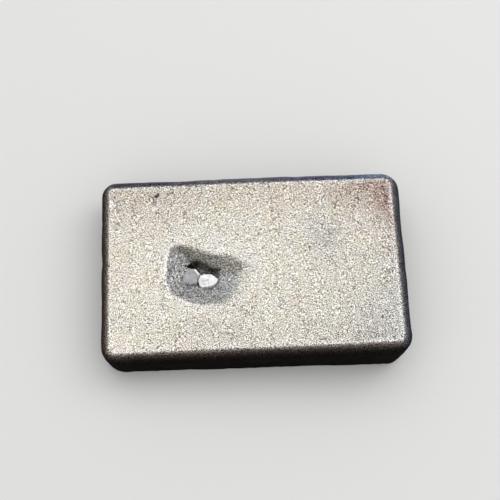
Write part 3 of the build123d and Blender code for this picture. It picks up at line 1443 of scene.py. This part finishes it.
class Nodes:
    """A node tree with short calls for the nodes that the finishes use."""

    def __init__(self, tree: bpy.types.NodeTree) -> None:
        """Keep the tree."""
        self.tree = tree

    def add(self, kind: str, **inputs: object) -> bpy.types.Node:
        """Add a node and set or link its inputs.

        Args:
            kind: The node's type.
            inputs: By input name, with _ for a space, either a socket to link or a value.

        Returns:
            The node.
        """
        node = self.tree.nodes.new(kind)
        for name, value in inputs.items():
            self.feed(node, name.replace("_", " "), value)
        return node

    def group(self, tree: bpy.types.NodeTree, **inputs: object) -> bpy.types.Node:
        """Add a node group and set or link its inputs, named as for any other node.

        Args:
            tree: The group's tree.
            inputs: By input name, with _ for a space, either a socket to link or a value.

        Returns:
            The group's node.
        """
        node = self.tree.nodes.new("ShaderNodeGroup")
        node.node_tree = tree
        for name, value in inputs.items():
            self.feed(node, name.replace("_", " "), value)
        return node

    def feed(self, node: bpy.types.Node, name: str | int, value: object) -> None:
        """Link a socket to a node's input, or set the input's value."""
        if isinstance(value, Output):
            self.tree.links.new(value, node.inputs[name])
        else:
            node.inputs[name].default_value = value

    def math(self, operation: str, *values: object) -> Output:
        """Add a Math node with its two or three values, and return its result.

        Args:
            operation: The operation's name.
            values: Its two or three numbers or sockets.

        Returns:
            The result.
        """
        node = self.tree.nodes.new("ShaderNodeMath")
        node.operation = operation
        for place, value in enumerate(values):
            self.feed(node, place, value)
        return node.outputs[0]

    def mix(self, share: object, first: object, second: object, blend: str = "MIX") -> Output:
        """Add a colour Mix node and return its result.

        Args:
            share: Share of the second colour, a number or a socket.
            first: First colour, or a socket.
            second: Second colour, or a socket.
            blend: How the colours are mixed.

        Returns:
            The mixed colour.
        """
        node = self.tree.nodes.new("ShaderNodeMix")
        node.data_type = "RGBA"
        node.blend_type = blend
        self.feed(node, 0, share)
        for place, colour in ((6, first), (7, second)):
            self.feed(node, place, colour if isinstance(colour, Output) else (*colour, 1.0))
        return node.outputs[2]

    def blend(self, share: object, first: object, second: object) -> Output:
        """Add a float Mix node and return its result.

        Args:
            share: Share of the second number.
            first: First number, or a socket.
            second: Second number, or a socket.

        Returns:
            The mixed number.
        """
        node = self.tree.nodes.new("ShaderNodeMix")
        for place, value in ((0, share), (2, first), (3, second)):
            self.feed(node, place, value)
        return node.outputs[0]

    def ramp(self, value: object, low: float, high: float) -> Output:
        """Add a clamped Map Range node from low..high to 0..1 and return its result."""
        node = self.add("ShaderNodeMapRange", Value=value, From_Min=low, From_Max=high)
        return node.outputs["Result"]

    def tinted(self, value: Output, powers: tuple[float, float, float] = (1.0, 1.0, 1.0)) -> Output:
        """Turn a number into a colour, each channel the number to a power of its own.

        Args:
            value: The number.
            powers: The power for red, green and blue; all 1 makes grey.

        Returns:
            The colour.
        """
        node = self.tree.nodes.new("ShaderNodeCombineColor")
        for channel, power in enumerate(powers):
            self.feed(node, channel, value if power == 1.0 else self.math("POWER", value, power))
        return node.outputs[0]

    def noise(self, vector: object, scale: object, detail: float, roughness: float = 0.5) -> Output:
        """Add a Noise node and return its value, about 0.5 on average."""
        node = self.add(
            "ShaderNodeTexNoise", Vector=vector, Scale=scale, Detail=detail, Roughness=roughness
        )
        return node.outputs["Fac"]

    def attribute(self, mask: Mask) -> Output:
        """Read one of the skin's masks.

        Args:
            mask: Which mask.

        Returns:
            Its value.
        """
        node = self.tree.nodes.new("ShaderNodeAttribute")
        node.attribute_name = mask.value
        return node.outputs["Fac"]

    def bump(self, shader: bpy.types.Node, depth: float, **inputs: object) -> None:
        """Roughen a shader's surface by a Bump node, whose full height is a depth in millimetres."""
        node = self.add("ShaderNodeBump", Distance=depth * MILLIMETRE, **inputs)
        self.feed(shader, "Normal", node.outputs["Normal"])


def per_metre(pitch: float) -> float:
    """Scale of a texture whose features lie one pitch apart, in millimetres."""
    return 1.0 / (pitch * MILLIMETRE)


def new_material(name: str) -> tuple[bpy.types.Material, Nodes, bpy.types.Node]:
    """Start a material with a plain shader.

    Args:
        name: The material's name.

    Returns:
        The material, its nodes and its shader.
    """
    material = bpy.data.materials.new(name)
    material.use_nodes = True
    return material, Nodes(material.node_tree), material.node_tree.nodes["Principled BSDF"]


class Socket(Enum):
    """Kinds of group sockets."""

    NUMBER = "NodeSocketFloat"
    VECTOR = "NodeSocketVector"


def group_tree(
    name: str, inputs: dict[str, Socket], outputs: dict[str, Socket]
) -> tuple[Nodes, bpy.types.Node, bpy.types.Node]:
    """Start a shader node group with named sockets.

    Args:
        name: The group's name.
        inputs: Input names with their kinds.
        outputs: Output names with their kinds.

    Returns:
        The group's nodes, its input node and its output node.
    """
    tree = bpy.data.node_groups.new(name, "ShaderNodeTree")
    for label, kind in inputs.items():
        tree.interface.new_socket(label, in_out="INPUT", socket_type=kind.value)
    for label, kind in outputs.items():
        tree.interface.new_socket(label, in_out="OUTPUT", socket_type=kind.value)
    return Nodes(tree), tree.nodes.new("NodeGroupInput"), tree.nodes.new("NodeGroupOutput")


@dataclass(frozen=True)
class FrostedGrain:
    """Frosted grain of the cast surface: pitches and depth in millimetres, and its strength."""

    pitch: float = 0.15
    cell_pitch: float = 0.42
    depth: float = 0.02
    contrast: float = 6.9
    fine_share: float = 1.4
    hump_share: float = 0.6
    cell_softness: float = 0.5

    def group(self) -> bpy.types.NodeTree:
        """Build the group of a height and a light-and-dark speckle.

        The height is fine noise plus the rounded cells of a coarser Voronoi pattern; the speckle is
        the same fine noise round zero, so that hollows are dark and humps light: partly the metal's own
        grain, partly painted shade in the hollows and painted highlight on the humps.

        Returns:
            The group, with its two pitches in millimetres as inputs.
        """
        nodes, given, out = group_tree(
            "frosted_grain",
            {"Vector": Socket.VECTOR, "Pitch": Socket.NUMBER, "Cell Pitch": Socket.NUMBER},
            {"Height": Socket.NUMBER, "Speckle": Socket.NUMBER},
        )
        place = given.outputs["Vector"]
        scale, cell_scale = (
            nodes.math("DIVIDE", 1.0 / MILLIMETRE, given.outputs[name])
            for name in ("Pitch", "Cell Pitch")
        )
        fine = nodes.noise(place, scale, 1.0)
        cells = nodes.add("ShaderNodeTexVoronoi", Vector=place, Scale=cell_scale)
        cells.feature = "SMOOTH_F1"
        cells.inputs["Smoothness"].default_value = self.cell_softness
        hump = nodes.math("SUBTRACT", 1.0, cells.outputs["Distance"])
        humps = nodes.math("MULTIPLY", hump, self.hump_share)
        nodes.feed(out, "Height", nodes.math("MULTIPLY_ADD", fine, self.fine_share, humps))
        # speckle: grain tone, partly painted shade and highlight on the relief
        nodes.feed(out, "Speckle", nodes.math("SUBTRACT", fine, 0.5))
        return nodes.tree


@dataclass(frozen=True)
class Tarnish:
    """Slow drift of warm, green and rose tints over the metal, in patches that don't coincide."""

    pitch: float = 4.2
    shift: tuple[float, float, float] = (0.1, 0.07, 0.13)
    detail: float = 3.0
    roughness: float = 0.65
    low: float = 0.42
    high: float = 0.68
    tints: tuple[tuple[str, Colour], ...] = (
        ("Warm", (1.0, 0.97, 0.86)),
        ("Green", (0.94, 0.995, 0.95)),
        ("Rose", (1.0, 0.925, 0.94)),
    )

    def group(self) -> bpy.types.NodeTree:
        """Build the group: one mask for each tint, from noise that is shifted for each.

        Returns:
            The group, with the pitch of its patches in millimetres as input.
        """
        nodes, given, out = group_tree(
            "tarnish",
            {"Vector": Socket.VECTOR, "Pitch": Socket.NUMBER},
            {name: Socket.NUMBER for name, _ in self.tints},
        )
        scale = nodes.math("DIVIDE", 1.0 / MILLIMETRE, given.outputs["Pitch"])
        for count, (name, _) in enumerate(self.tints):
            shifted = nodes.tree.nodes.new("ShaderNodeVectorMath")
            nodes.feed(shifted, 0, given.outputs["Vector"])
            nodes.feed(shifted, 1, [count * part for part in self.shift])
            patches = nodes.noise(shifted.outputs[0], scale, self.detail, self.roughness)
            nodes.feed(out, name, nodes.ramp(patches, self.low, self.high))
        return nodes.tree


@dataclass(frozen=True)
class BackReflectionColours:
    """Painted reflection of blue light along the back edge: a colour at each of a few places along X."""

    tones: tuple[tuple[float, Colour], ...] = (
        (-22.0, (0.066, 0.054, 0.074)), (-13.0, (0.076, 0.066, 0.095)), (-7.0, (0.125, 0.12, 0.13)),
        (3.0, (0.12, 0.115, 0.13)), (8.0, (0.095, 0.088, 0.15)), (13.0, (0.10, 0.092, 0.15)),
        (17.0, (0.08, 0.112, 0.155)), (22.0, (0.165, 0.20, 0.265)),
    )
    wander: float = 6.0
    least: float = 0.5

    def colour(self, nodes: Nodes, place: Output, patch: Output) -> Output:
        """Read the colours along X, a little to and fro with the patches, which darken them too.

        Args:
            nodes: The material's nodes.
            place: Object coordinates.
            patch: The patches.

        Returns:
            The colour.
        """
        places, colours = zip(*self.tones)
        first, length = places[0], places[-1] - places[0]
        start = first + 0.5 * self.wander
        across = nodes.add("ShaderNodeSeparateXYZ", Vector=place).outputs["X"]
        moved = nodes.math("MULTIPLY_ADD", patch, self.wander * MILLIMETRE, across)
        share = nodes.ramp(moved, start * MILLIMETRE, (start + length) * MILLIMETRE)
        ramp = nodes.add("ShaderNodeValToRGB", Fac=share)
        stops = ramp.color_ramp.elements
        for x in places[1:-1]:
            stops.new((x - first) / length)
        for stop, colour in zip(stops, colours):
            stop.color = (*colour, 1.0)
        shade = nodes.tinted(nodes.math("ADD", patch, self.least))
        return nodes.mix(1.0, ramp.outputs["Color"], shade, "MULTIPLY")


@dataclass(frozen=True)
class CastMetal:
    """Material of the cast skin by masks: free face, dish, stain, mould skin with painted shade, a
    painted reflection along the back, painted highlights and painted shade.
    """

    grain: FrostedGrain = FrostedGrain()
    tarnish: Tarnish = Tarnish()
    back_reflection: BackReflectionColours = BackReflectionColours()
    patch_pitch: float = 2.2
    patch_detail: float = 4.0
    patch_roughness: float = 0.6
    least_stain: float = 0.5
    highlight_share: float = 0.9
    skin_speckle: float = 8.0
    darkest_grain: float = 0.05
    grain_powers: tuple[float, float, float] = (1.0, 1.05, 1.12)
    specular: float = 0.004

    def material(self) -> bpy.types.Material:
        """Build the material: a colour from the masks, times the grain's warm light and dark.

        Returns:
            The material.
        """
        material, nodes, shader = new_material("as_cast_metal")
        place = nodes.add("ShaderNodeTexCoord").outputs["Object"]
        mask = {name: nodes.attribute(name) for name in Mask}
        grain, gain = self.grain, mask[Mask.GRAIN]
        grains = nodes.group(
            grain.group(), Vector=place, Pitch=grain.pitch, Cell_Pitch=grain.cell_pitch
        )
        # mask of the mould skin and its painted shade, with a grainy edge
        mould = self.ragged(nodes, mask[Mask.MOULD_AND_SHADE], grains.outputs["Speckle"])
        contrast = nodes.math("MULTIPLY", gain, grain.contrast)
        speckle = nodes.math("MULTIPLY_ADD", grains.outputs["Speckle"], contrast, 1.0)
        warm = nodes.tinted(nodes.math("MAXIMUM", speckle, self.darkest_grain), self.grain_powers)
        colour = self.colour(nodes, place, mask, mould)
        nodes.feed(shader, "Base Color", nodes.mix(1.0, colour, warm, "MULTIPLY"))
        back_reflected = nodes.math("MULTIPLY", mould, mask[Mask.BACK_REFLECTION])
        rough = nodes.blend(mask[Mask.DISH], BARE_SHEEN.roughness, DISH_SHEEN.roughness)
        rough = nodes.blend(mould, rough, MOULD_SHEEN.roughness)
        nodes.feed(shader, "Roughness", nodes.blend(back_reflected, rough, BACK_REFLECTION_SHEEN.roughness))
        metallic = nodes.blend(mould, BARE_SHEEN.metallic, MOULD_SHEEN.metallic)
        nodes.feed(shader, "Metallic", nodes.blend(back_reflected, metallic, BACK_REFLECTION_SHEEN.metallic))
        shader.inputs["Specular IOR Level"].default_value = self.specular
        nodes.bump(shader, grain.depth, Strength=gain, Height=grains.outputs["Height"])
        return material

    def colour(self, nodes: Nodes, place: Output, mask: dict[Mask, Output], mould: Output) -> Output:
        """Colour of the skin before the grain: the finishes laid over one another by their masks.

        Args:
            nodes: The material's nodes.
            place: Object coordinates.
            mask: The masks.
            mould: The mask of the mould skin and its painted shade, with a grainy edge.

        Returns:
            The colour.
        """
        patch = nodes.noise(
            place, per_metre(self.patch_pitch), self.patch_detail, self.patch_roughness
        )
        free, shaded, frost, wall, burnt, dark, thin = (
            nodes.mix(patch, tones.first, tones.second)
            for tones in (
                FREE_FACE, SHADED_FACE, DISH_FROST_AND_SHADE, DISH_WALL_SHADE, BURNT_STAIN, MOULD_SKIN_AND_SHADE, THIN_SKIN
            )
        )
        drift = nodes.group(self.tarnish.group(), Vector=place, Pitch=self.tarnish.pitch)
        for name, tint in self.tarnish.tints:
            free = nodes.mix(drift.outputs[name], free, tint, "MULTIPLY")
        # painted shade over the free face
        face = nodes.mix(mask[Mask.PAINTED_SHADE], free, shaded)
        uneven = nodes.math("MULTIPLY", mask[Mask.STAIN], nodes.math("ADD", patch, self.least_stain))
        face = nodes.mix(uneven, face, burnt)
        # dish: frost, partly painted shade, and painted shade on the steep wall
        metal = nodes.mix(mask[Mask.DISH], face, nodes.mix(mask[Mask.WALL], frost, wall))
        # near-black skin with painted shade, lighter near the free face by the crown mask, whose fall
        # down the rounding is painted shade
        skin = nodes.mix(mask[Mask.CROWN], dark, thin)
        # painted reflection of blue light along the back
        skin = nodes.mix(mask[Mask.BACK_REFLECTION], skin, self.back_reflection.colour(nodes, place, patch))
        # painted highlights
        burnish = nodes.math("MULTIPLY", mask[Mask.PAINTED_HIGHLIGHT], self.highlight_share)
        colour = nodes.mix(burnish, nodes.mix(mould, metal, skin), HIGHLIGHT_WHITE)
        # painted shade in the crack and the nooks, and dark marks
        return nodes.mix(mask[Mask.SHADE_AND_MARKS], colour, SHADE_AND_MARKS)

    def ragged(self, nodes: Nodes, share: Output, speckle: Output) -> Output:
        """Break up a soft edge by the grain: share - speckle x strength x share x (1 - share).

        Args:
            nodes: The material's nodes.
            share: The mask with the soft edge.
            speckle: The grain's light and dark, round zero.

        Returns:
            The mask with a grainy edge, clamped to 0..1.
        """
        edge = nodes.math("MULTIPLY", share, nodes.math("SUBTRACT", 1.0, share))
        strength = nodes.math("MULTIPLY", edge, -self.skin_speckle)
        grainy = nodes.math("MULTIPLY_ADD", speckle, strength, share)
        grainy.node.use_clamp = True
        return grainy


@dataclass(frozen=True)
class FacetMetal:
    """Material of one crystal's smooth faces."""

    name: str
    tones: Tones
    roughness: float
    line_pitch: float
    line_depth: float = 0.001
    line_wander: float = 4.0
    patch_pitch: float = 0.9
    patch_detail: float = 2.0
    patch_edge: tuple[float, float] = (0.35, 0.65)
    uneven: float = 0.1

    def material(self) -> bpy.types.Material:
        """Build the material: two tones in soft patches, with faint growth lines.

        Returns:
            The material.
        """
        material, nodes, shader = new_material(self.name)
        place = nodes.add("ShaderNodeTexCoord").outputs["Object"]
        patch = nodes.noise(place, per_metre(self.patch_pitch), self.patch_detail)
        share = nodes.ramp(patch, *self.patch_edge)
        colour = nodes.mix(share, self.tones.first, self.tones.second)
        # painted shade beside the crystals, and a few dark marks
        colour = nodes.mix(nodes.attribute(Mask.SHADE_AND_MARKS), colour, SHADE_AND_MARKS)
        # painted highlight on the crystals' edges
        nodes.feed(shader, "Base Color", nodes.mix(nodes.attribute(Mask.PAINTED_HIGHLIGHT), colour, HIGHLIGHT_WHITE))
        shader.inputs["Metallic"].default_value = 1.0
        smoothest = self.roughness - 0.5 * self.uneven
        nodes.feed(shader, "Roughness", nodes.math("MULTIPLY_ADD", patch, self.uneven, smoothest))
        lines = nodes.add(
            "ShaderNodeTexWave",
            Vector=place,
            Scale=per_metre(self.line_pitch),
            Distortion=self.line_wander,
        )
        nodes.bump(shader, self.line_depth, Height=lines.outputs["Fac"])
        return material


# the same metal as the white facet, painted darker: painted shade
SHADED_FACET = FacetMetal(
    "shaded_crystal_face", Tones((0.40, 0.40, 0.41), (0.30, 0.295, 0.305)), 0.25, line_pitch=0.5
)
WHITE_FACET = FacetMetal(
    "white_crystal_face", Tones((0.84, 0.84, 0.845), (0.66, 0.66, 0.69)), 0.2, line_pitch=0.6
)


def in_scene(name: str, data: bpy.types.ID) -> bpy.types.Object:
    """Make an object of some data and link it to the scene.

    Args:
        name: The object's name.
        data: Its mesh, lamp or camera.

    Returns:
        The object.
    """
    item = bpy.data.objects.new(name, data)
    bpy.context.scene.collection.objects.link(item)
    return item


@dataclass
class Ingot:
    """The whole ingot: its skin, dressed and fixed to the frame."""

    skin: Skin

    def make(self) -> bpy.types.Object:
        """Build the skin's mesh, its masks, its materials and its object.

        Returns:
            The finished piece.
        """
        vertices, faces, masks, surfaces = self.skin.build()
        mesh = closed_mesh("cast_ingot", vertices, faces, MILLIMETRE)
        for mask, values in masks.items():
            layer = mesh.attributes.new(mask.value, "FLOAT", "POINT")
            layer.data.foreach_set("value", values.astype(np.float32))
        for metal in (CastMetal(), SHADED_FACET, WHITE_FACET):
            mesh.materials.append(metal.material())
        mesh.polygons.foreach_set("material_index", surfaces.astype(np.int32))
        mesh.polygons.foreach_set("use_smooth", surfaces == Surface.CAST.value)
        mesh.update()
        piece = in_scene("cast_ingot", mesh)
        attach(piece, BODY)
        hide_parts(NODE)
        triangles = int(((faces >= 0).sum(axis=1) - 2).sum())
        log.info("cast_ingot: %d vertices, %d triangles", len(vertices), triangles)
        return piece


@dataclass(frozen=True)
class SoftBox:
    """Square area lamp that looks at the ingot: place and size in metres, and its radiance."""

    name: str
    place: tuple[float, float, float]
    size: float
    radiance: float

    def make(self) -> None:
        """Hang the lamp; its power is radiance x area x pi."""
        data = bpy.data.lights.new(self.name, "AREA")
        data.shape = "SQUARE"
        data.size = self.size
        data.energy = self.radiance * self.size**2 * math.pi
        lamp = in_scene(self.name, data)
        lamp.location = self.place
        lamp.rotation_euler = (-lamp.location).to_track_quat("-Z", "Y").to_euler()


@dataclass
class Studio:
    """Plain pale floor, soft light and the camera."""

    floor_radius: float = 1.5
    floor_height: float = -0.00002
    floor_corners: int = 128
    floor_colour: Colour = (0.92, 0.92, 0.91)
    floor_roughness: float = 0.9
    world_strength: float = 0.63
    lamps: tuple[SoftBox, ...] = (
        SoftBox("key_softbox", (-0.015, 0.145, 0.36), 0.38, 0.54),
        SoftBox("side_softbox", (0.27, 0.12, 0.3), 0.24, 1.35),
    )
    eye: tuple[float, float, float] = (-10.318, -63.78, 177.869)
    eye_turn: tuple[float, float, float] = (21.408, -2.38, -2.366)
    focal_pixels: float = 1100.0
    picture_pixels: float = 500.0
    sensor_width: float = 36.0
    nearest_seen: float = 0.01

    def make(self) -> None:
        """Build the floor, the lamps, the world and the camera."""
        self.make_floor()
        self.make_world()
        for lamp in self.lamps:
            lamp.make()
        self.make_camera()

    def make_floor(self) -> None:
        """Lay a pale disc just under the ingot: its rim is a circle worked out by angle."""
        angles = np.linspace(0.0, 2.0 * math.pi, self.floor_corners, endpoint=False)
        circle = np.column_stack([np.cos(angles), np.sin(angles)]) * self.floor_radius
        rim = on_level(circle, self.floor_height)
        mesh = bpy.data.meshes.new("floor")
        mesh.from_pydata(rim.tolist(), [], [list(range(len(rim)))])
        material, _, shader = new_material("pale_floor")
        shader.inputs["Base Color"].default_value = (*self.floor_colour, 1.0)
        shader.inputs["Roughness"].default_value = self.floor_roughness
        mesh.materials.append(material)
        floor = in_scene("floor", mesh)

    def make_world(self) -> None:
        """Surround the scene with plain grey light."""
        world = bpy.data.worlds.new("studio")
        world.use_nodes = True
        back = world.node_tree.nodes["Background"]
        back.inputs["Color"].default_value = (1.0, 1.0, 1.0, 1.0)
        back.inputs["Strength"].default_value = self.world_strength
        bpy.context.scene.world = world

    def make_camera(self) -> None:
        """Set the camera where it looks down on the free face from the front."""
        data = bpy.data.cameras.new("camera")
        data.sensor_width = self.sensor_width
        data.lens = self.focal_pixels / self.picture_pixels * self.sensor_width
        data.clip_start = self.nearest_seen
        camera = in_scene("camera", data)
        camera.location = [c * MILLIMETRE for c in self.eye]
        camera.rotation_euler = [math.radians(a) for a in self.eye_turn]
        bpy.context.scene.camera = camera


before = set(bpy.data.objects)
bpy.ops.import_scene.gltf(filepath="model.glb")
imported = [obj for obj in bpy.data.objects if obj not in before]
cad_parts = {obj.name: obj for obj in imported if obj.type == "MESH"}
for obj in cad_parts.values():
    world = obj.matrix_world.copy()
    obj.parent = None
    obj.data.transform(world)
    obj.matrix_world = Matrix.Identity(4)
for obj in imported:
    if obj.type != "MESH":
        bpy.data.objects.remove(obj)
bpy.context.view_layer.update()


def main() -> None:
    """Build the studio and the ingot."""
    logging.basicConfig(level=logging.INFO)
    bpy.context.scene.view_settings.view_transform = "Standard"
    low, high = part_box(NODE)
    half = (high - low) / (2.0 * MILLIMETRE)
    Studio().make()
    Ingot(Skin(half.x, half.y, high.z / MILLIMETRE)).make()


if __name__ == "__main__":
    main()
